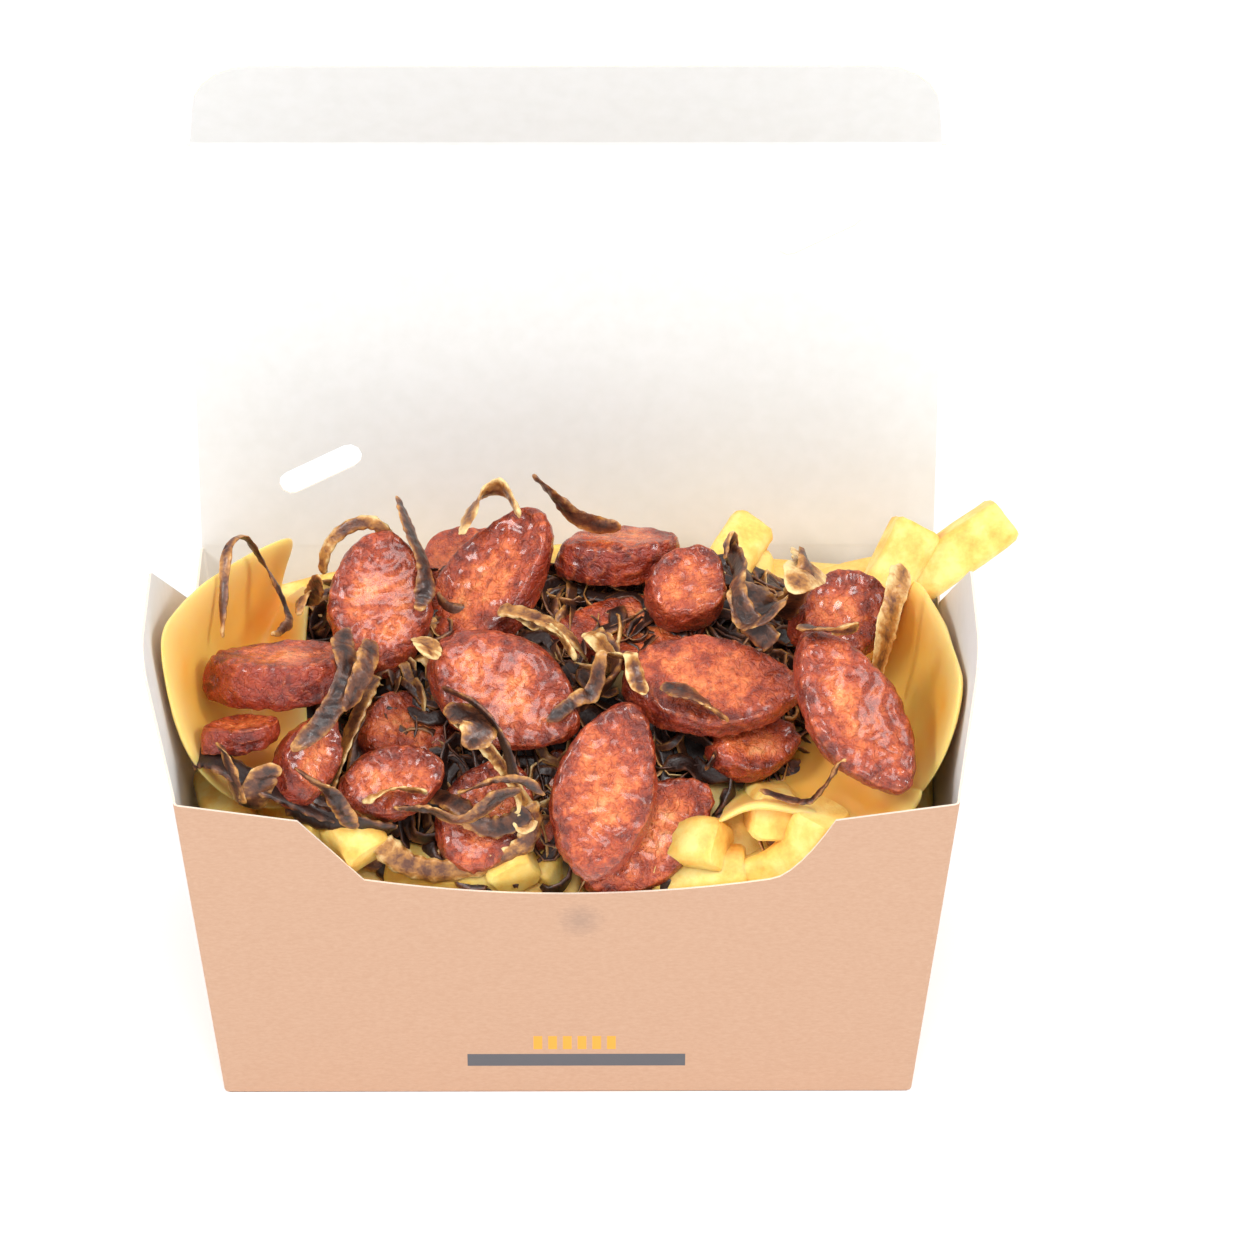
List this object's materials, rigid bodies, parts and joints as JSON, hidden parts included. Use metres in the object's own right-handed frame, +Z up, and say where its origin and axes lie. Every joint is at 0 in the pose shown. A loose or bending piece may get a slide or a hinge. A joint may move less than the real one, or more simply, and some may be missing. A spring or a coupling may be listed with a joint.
{
  "type": "filled fries carton",
  "caption": "Open folding board carton of chips topped with cheese slices, sliced fried sausage and crisp onion slivers.",
  "frame": {"origin": "centre of the carton's underside, on the surface that it stands on", "axes": "+Z up, the dipped front wall faces -Y, the lid stands at +Y, +X to the right seen from the front"},
  "size_m": [0.2046, 0.1206, 0.2238],
  "materials": {
    "board": "matte kraft-coloured outside, white inside",
    "fry": "fried potato, slightly oily",
    "cheese": "soft satin sliced cheese",
    "sausage": "fried, mottled and glossy",
    "onion": "dark fried onion with golden edges"
  },
  "bodies": {
    "carton": {"tray": "board", "fries": "fry", "cheese_left": "cheese", "cheese_right_back": "cheese", "cheese_right_front": "cheese", "sausage_01": "sausage", "sausage_02": "sausage", "sausage_03": "sausage", "sausage_04": "sausage", "sausage_05": "sausage", "sausage_06": "sausage", "sausage_07": "sausage", "sausage_08": "sausage", "sausage_09": "sausage", "sausage_10": "sausage", "sausage_11": "sausage", "sausage_12": "sausage", "sausage_13": "sausage", "sausage_14": "sausage", "sausage_15": "sausage", "sausage_16": "sausage", "sausage_17": "sausage", "sausage_18": "sausage", "sausage_19": "sausage", "sausage_20": "sausage", "sausage_21": "sausage", "onion_01": "onion", "onion_02": "onion", "onion_03": "onion", "onion_04": "onion", "onion_05": "onion", "onion_06": "onion", "onion_07": "onion", "onion_08": "onion", "onion_09": "onion", "onion_10": "onion", "onion_11": "onion", "onion_12": "onion", "onion_13": "onion", "onion_14": "onion", "onion_15": "onion", "onion_16": "onion", "onion_17": "onion", "onion_18": "onion", "onion_19": "onion", "onion_20": "onion", "onion_21": "onion", "onion_22": "onion", "onion_23": "onion", "onion_24": "onion", "onion_25": "onion", "onion_26": "onion", "onion_27": "onion"},
    "lid": {"lid": "board"},
    "tuck_flap": {"tuck_flap": "board"},
    "dust_flap_left": {"dust_flap_left": "board"},
    "dust_flap_right": {"dust_flap_right": "board"}
  },
  "joints": [
    {"name": "lid_crease", "type": "hinge", "parent": "carton", "child": "lid", "pos_m": [0, 0.0527, 0.09385], "axis": [1, 0, 0], "range_deg": [-90, 28]},
    {"name": "tuck_crease", "type": "hinge", "parent": "lid", "child": "tuck_flap", "pos_m": [0, 0.06654, 0.19894], "axis": [1, 0, 0], "range_deg": [-45, 70]},
    {"name": "dust_flap_left_crease", "type": "hinge", "parent": "carton", "child": "dust_flap_left", "pos_m": [-0.0897, 0, 0.09385], "axis": [0, -1, 0], "range_deg": [0, 80]},
    {"name": "dust_flap_right_crease", "type": "hinge", "parent": "carton", "child": "dust_flap_right", "pos_m": [0.0897, 0, 0.09385], "axis": [0, 1, 0], "range_deg": [0, 80]}
  ]
}
